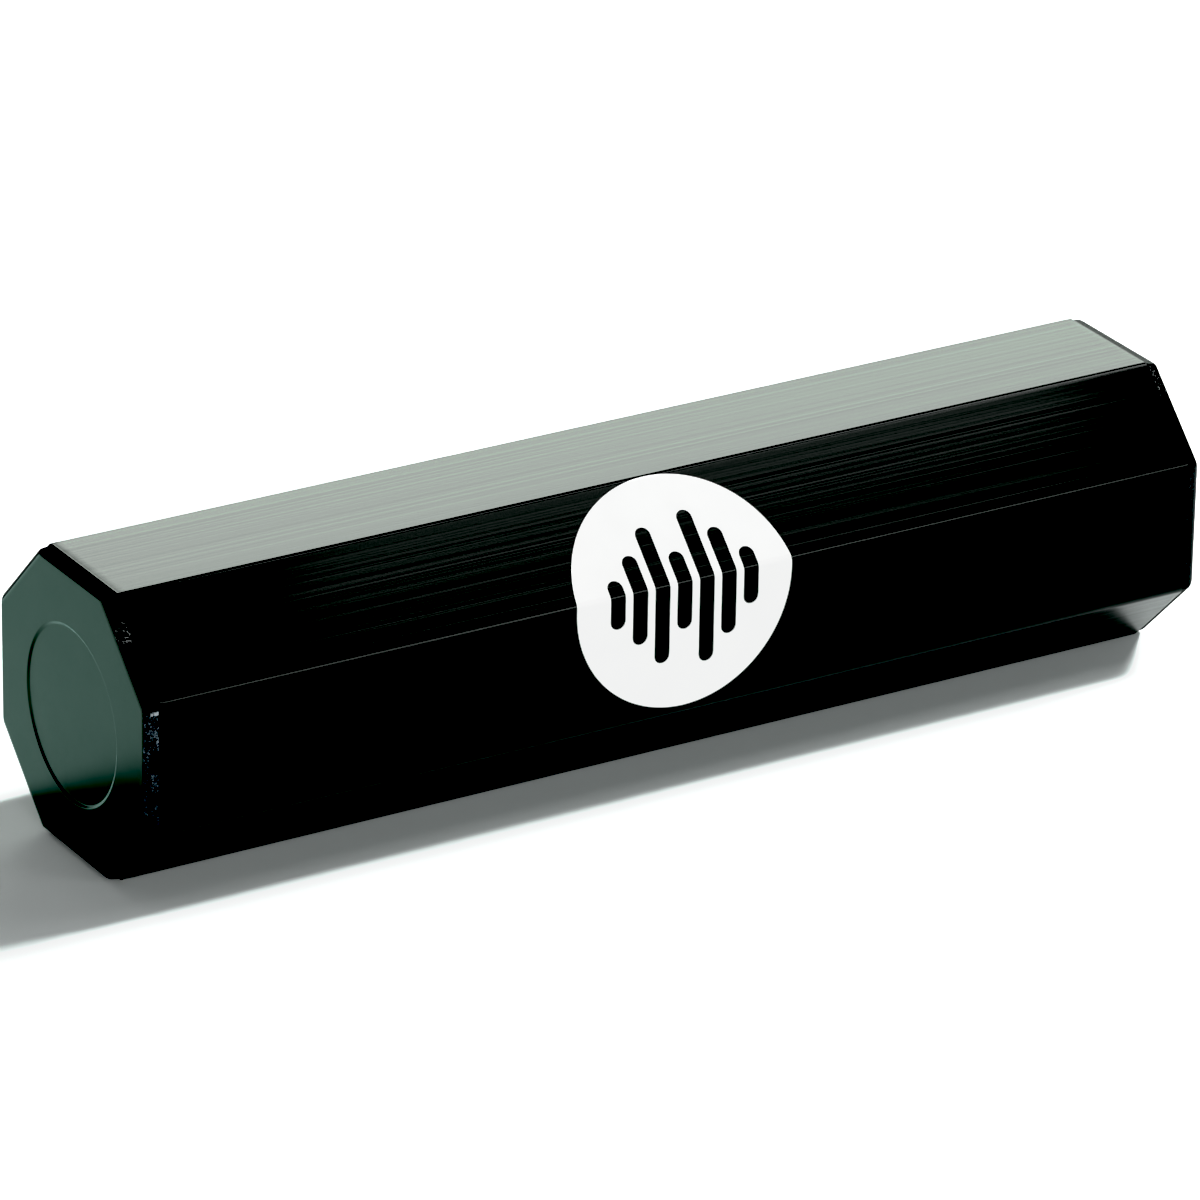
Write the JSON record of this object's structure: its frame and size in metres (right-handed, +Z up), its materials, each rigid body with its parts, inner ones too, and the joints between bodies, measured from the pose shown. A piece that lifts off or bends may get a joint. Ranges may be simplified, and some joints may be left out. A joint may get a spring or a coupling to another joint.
{
  "type": "percussion shaker",
  "caption": "Octagonal aluminium tube shaker with pressed-in plastic end caps, a round front label and loose steel shot sealed inside that rolls end to end.",
  "frame": {"origin": "middle of the bottom facet, which lies on the surface the shaker rests on", "axes": "+X along the tube towards the right end cap, -Y to the front with the label, +Z up"},
  "size_m": [0.2, 0.0501, 0.05],
  "materials": {
    "anodised_tube": "black anodised, brushed lengthwise, satin",
    "cap_plastic": "black moulded, smooth satin face, fine spark texture on the rim",
    "label_film": "white printed film, semi-gloss",
    "shot_steel": "bright tumbled steel"
  },
  "bodies": {
    "shell": {"tube_body": "anodised_tube", "end_cap_left": "cap_plastic", "end_cap_right": "cap_plastic", "front_label": "label_film"},
    "shot_lower_1": {"shot_lower_row_1": "shot_steel"},
    "shot_lower_2": {"shot_lower_row_2": "shot_steel"},
    "shot_lower_3": {"shot_lower_row_3": "shot_steel"},
    "shot_lower_4": {"shot_lower_row_4": "shot_steel"},
    "shot_lower_5": {"shot_lower_row_5": "shot_steel"},
    "shot_upper_1": {"shot_upper_row_1": "shot_steel"},
    "shot_upper_2": {"shot_upper_row_2": "shot_steel"},
    "shot_upper_3": {"shot_upper_row_3": "shot_steel"},
    "shot_upper_4": {"shot_upper_row_4": "shot_steel"},
    "shot_upper_5": {"shot_upper_row_5": "shot_steel"},
    "shot_upper_6": {"shot_upper_row_6": "shot_steel"}
  },
  "joints": [
    {"name": "shot_lower_1_roll", "type": "slide", "parent": "shell", "child": "shot_lower_1", "axis": [1, 0, 0], "range_m": [-0.0411, 0.0411]},
    {"name": "shot_lower_2_roll", "type": "slide", "parent": "shell", "child": "shot_lower_2", "axis": [1, 0, 0], "range_m": [-0.0432, 0.0432]},
    {"name": "shot_lower_3_roll", "type": "slide", "parent": "shell", "child": "shot_lower_3", "axis": [1, 0, 0], "range_m": [-0.0411, 0.0411]},
    {"name": "shot_lower_4_roll", "type": "slide", "parent": "shell", "child": "shot_lower_4", "axis": [1, 0, 0], "range_m": [-0.0432, 0.0432]},
    {"name": "shot_lower_5_roll", "type": "slide", "parent": "shell", "child": "shot_lower_5", "axis": [1, 0, 0], "range_m": [-0.0411, 0.0411]},
    {"name": "shot_upper_1_roll", "type": "slide", "parent": "shell", "child": "shot_upper_1", "axis": [1, 0, 0], "range_m": [-0.0532, 0.0532]},
    {"name": "shot_upper_2_roll", "type": "slide", "parent": "shell", "child": "shot_upper_2", "axis": [1, 0, 0], "range_m": [-0.0511, 0.0511]},
    {"name": "shot_upper_3_roll", "type": "slide", "parent": "shell", "child": "shot_upper_3", "axis": [1, 0, 0], "range_m": [-0.0532, 0.0532]},
    {"name": "shot_upper_4_roll", "type": "slide", "parent": "shell", "child": "shot_upper_4", "axis": [1, 0, 0], "range_m": [-0.0511, 0.0511]},
    {"name": "shot_upper_5_roll", "type": "slide", "parent": "shell", "child": "shot_upper_5", "axis": [1, 0, 0], "range_m": [-0.0532, 0.0532]},
    {"name": "shot_upper_6_roll", "type": "slide", "parent": "shell", "child": "shot_upper_6", "axis": [1, 0, 0], "range_m": [-0.0511, 0.0511]}
  ]
}
